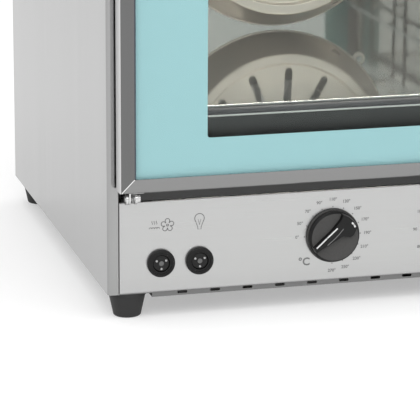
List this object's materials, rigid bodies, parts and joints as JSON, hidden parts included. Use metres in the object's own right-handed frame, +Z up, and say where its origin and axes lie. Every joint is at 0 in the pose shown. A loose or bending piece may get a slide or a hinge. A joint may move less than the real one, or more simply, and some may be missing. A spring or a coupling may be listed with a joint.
{
  "type": "countertop convection oven",
  "caption": "Box-shaped countertop convection oven with a drop-down glass door over a control panel with knobs and push buttons, wire racks, a rear fan and rubber feet.",
  "frame": {"origin": "on the ground, at the centre of the bounding box's bottom", "axes": "+Z up, front with the door and the controls towards -Y, +X to the right seen from the front"},
  "size_m": [0.595, 0.62, 0.565],
  "materials": {
    "casing_steel": "satin stainless sheet, fine grain",
    "panel_steel": "satin stainless sheet, fine grain",
    "black_enamel": "black stove enamel",
    "frame_steel": "satin stainless sheet",
    "pan_steel": "satin stainless sheet",
    "galvanised_steel": "bare zinc-coated sheet",
    "zinc_screws": "bright zinc plate",
    "polished_steel": "polished stainless sheet",
    "cover_steel": "polished stainless sheet",
    "gasket_silicone": "matte silicone",
    "mineral_wool": "loose fibre blanket",
    "cast_alloy": "as cast",
    "turned_steel": "turned",
    "motor_enamel": "black enamel",
    "element_sheath": "oxidised sheath",
    "lamp_ceramic": "unglazed",
    "lamp_glass": "clear heat-proof glass",
    "black_plastic": "fine satin moulding",
    "knob_plastic": "satin moulding",
    "button_plastic": "semi-gloss moulding",
    "control_plastic": "phenolic moulding",
    "green_lens": "translucent green lens",
    "amber_lens": "translucent amber lens",
    "foot_rubber": "matte moulded rubber",
    "door_steel": "bright satin",
    "door_glass": "clear tempered glass",
    "handle_steel": "satin bar",
    "hinge_steel": "bright plated",
    "spring_steel": "drawn wire",
    "rack_chrome": "chrome-plated wire"
  },
  "bodies": {
    "oven_body": {"outer_casing": "casing_steel", "base_pan": "pan_steel", "back_panel": "casing_steel", "back_panel_screws": "zinc_screws", "control_panel": "panel_steel", "front_frame": "black_enamel", "cavity_liner": "polished_steel", "cavity_gasket": "gasket_silicone", "insulation_wrap": "mineral_wool", "insulation_rear": "mineral_wool", "fan_cover": "cover_steel", "fan_cover_screws": "zinc_screws", "motor_housing": "motor_enamel", "motor_bracket": "galvanised_steel", "heating_element": "element_sheath", "lamp_holder": "lamp_ceramic", "lamp_glass": "lamp_glass", "lamp_bulb": "lamp_glass", "steam_vent": "polished_steel", "cable_gland": "black_plastic", "thermostat_body": "control_plastic", "timer_body": "control_plastic", "fan_switch_body": "black_plastic", "light_switch_body": "black_plastic", "switch_nuts": "zinc_screws", "power_lamp": "green_lens", "heating_lamp": "amber_lens", "foot_front_left": "foot_rubber", "foot_front_right": "foot_rubber", "foot_rear_left": "foot_rubber", "foot_rear_right": "foot_rubber", "foot_screws": "zinc_screws", "hinge_bracket_left": "hinge_steel", "hinge_bracket_right": "hinge_steel", "hinge_pins": "hinge_steel", "hinge_spring_left": "spring_steel", "hinge_spring_right": "spring_steel", "rack_support_left": "rack_chrome", "rack_support_right": "rack_chrome"},
    "door": {"door_bottom_rail": "door_steel", "door_top_rail": "door_steel", "door_left_stile": "door_steel", "door_right_stile": "door_steel", "door_glass": "door_glass", "door_inner_glass": "door_glass", "door_inner_frame": "frame_steel", "door_handle": "handle_steel", "handle_posts": "handle_steel", "hinge_tabs": "hinge_steel"},
    "fan": {"fan_impeller": "cast_alloy", "impeller_nut": "zinc_screws", "motor_shaft": "turned_steel"},
    "thermostat_dial": {"thermostat_knob": "knob_plastic", "thermostat_spindle": "turned_steel"},
    "timer_dial": {"timer_knob": "knob_plastic", "timer_spindle": "turned_steel"},
    "fan_push": {"fan_button": "button_plastic"},
    "light_push": {"light_button": "button_plastic"},
    "lower_rack": {"wire_rack_lower": "rack_chrome"},
    "upper_rack": {"wire_rack_upper": "rack_chrome"}
  },
  "joints": [
    {"name": "door_hinge", "type": "hinge", "parent": "oven_body", "child": "door", "pos_m": [0, -0.253, 0.1367], "axis": [1, 0, 0], "range_deg": [0, 90], "stiffness_Nm_per_rad": 8, "springref_deg": -10.89},
    {"name": "fan_spin", "type": "hinge", "parent": "oven_body", "child": "fan", "pos_m": [0, 0.155, 0.3791], "axis": [0, 1, 0], "continuous": true},
    {"name": "thermostat_turn", "type": "hinge", "parent": "oven_body", "child": "thermostat_dial", "pos_m": [-0.0508, -0.24, 0.0791], "axis": [0, 1, 0], "range_deg": [-147, 123]},
    {"name": "timer_turn", "type": "hinge", "parent": "oven_body", "child": "timer_dial", "pos_m": [0.0825, -0.24, 0.0791], "axis": [0, 1, 0], "range_deg": [0, 300]},
    {"name": "fan_button_push", "type": "slide", "parent": "oven_body", "child": "fan_push", "axis": [0, 1, 0], "range_m": [0, 0.003], "stiffness_N_per_m": 500},
    {"name": "light_button_push", "type": "slide", "parent": "oven_body", "child": "light_push", "axis": [0, 1, 0], "range_m": [0, 0.003], "stiffness_N_per_m": 500},
    {"name": "lower_rack_slide", "type": "slide", "parent": "oven_body", "child": "lower_rack", "axis": [0, -1, 0], "range_m": [0, 0.018]},
    {"name": "upper_rack_slide", "type": "slide", "parent": "oven_body", "child": "upper_rack", "axis": [0, -1, 0], "range_m": [0, 0.018]}
  ]
}
